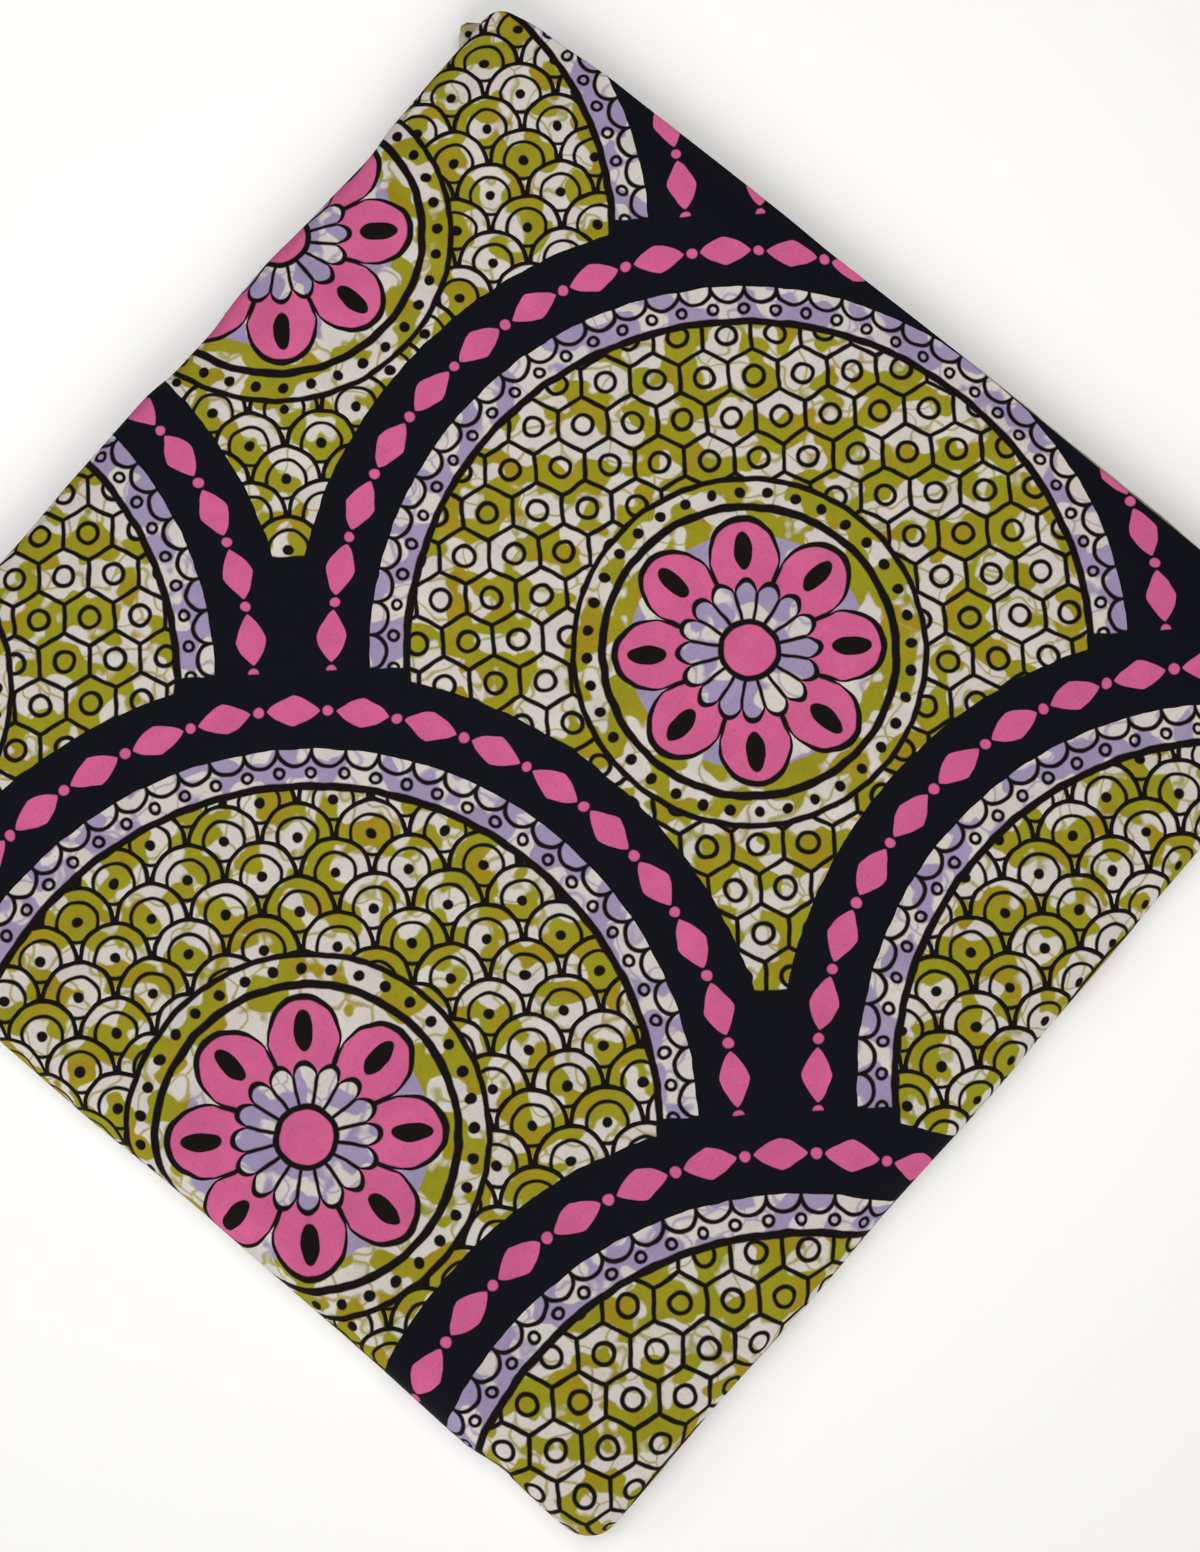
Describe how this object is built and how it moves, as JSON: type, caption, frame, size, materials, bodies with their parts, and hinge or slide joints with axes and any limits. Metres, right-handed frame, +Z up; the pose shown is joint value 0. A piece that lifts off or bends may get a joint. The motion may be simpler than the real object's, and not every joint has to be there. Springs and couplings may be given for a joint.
{
  "type": "folded wax print fabric",
  "caption": "Length of wax print cotton folded into a flat square parcel, with a rounded spine, rounded ends and an open layered edge, lying flat.",
  "frame": {"origin": "under the middle of the parcel, on the surface that it lies on", "axes": "+X along the rolled leaves from the left end to the right end, +Y from the spine of the book fold to the open layered side, +Z up"},
  "size_m": [0.2942, 0.3, 0.0174],
  "materials": {
    "wax_print_face": "printed cotton, matt with a soft pressed sheen: olive, off-white, pink, lilac and navy black",
    "folded_layers": "edges of printed cotton plies, matt",
    "selvedge": "unprinted off-white cotton selvedge, matt"
  },
  "bodies": {
    "root": {"outer_leaf": "wax_print_face", "inner_leaves": "folded_layers", "selvedge_leaf": "selvedge"}
  },
  "joints": []
}
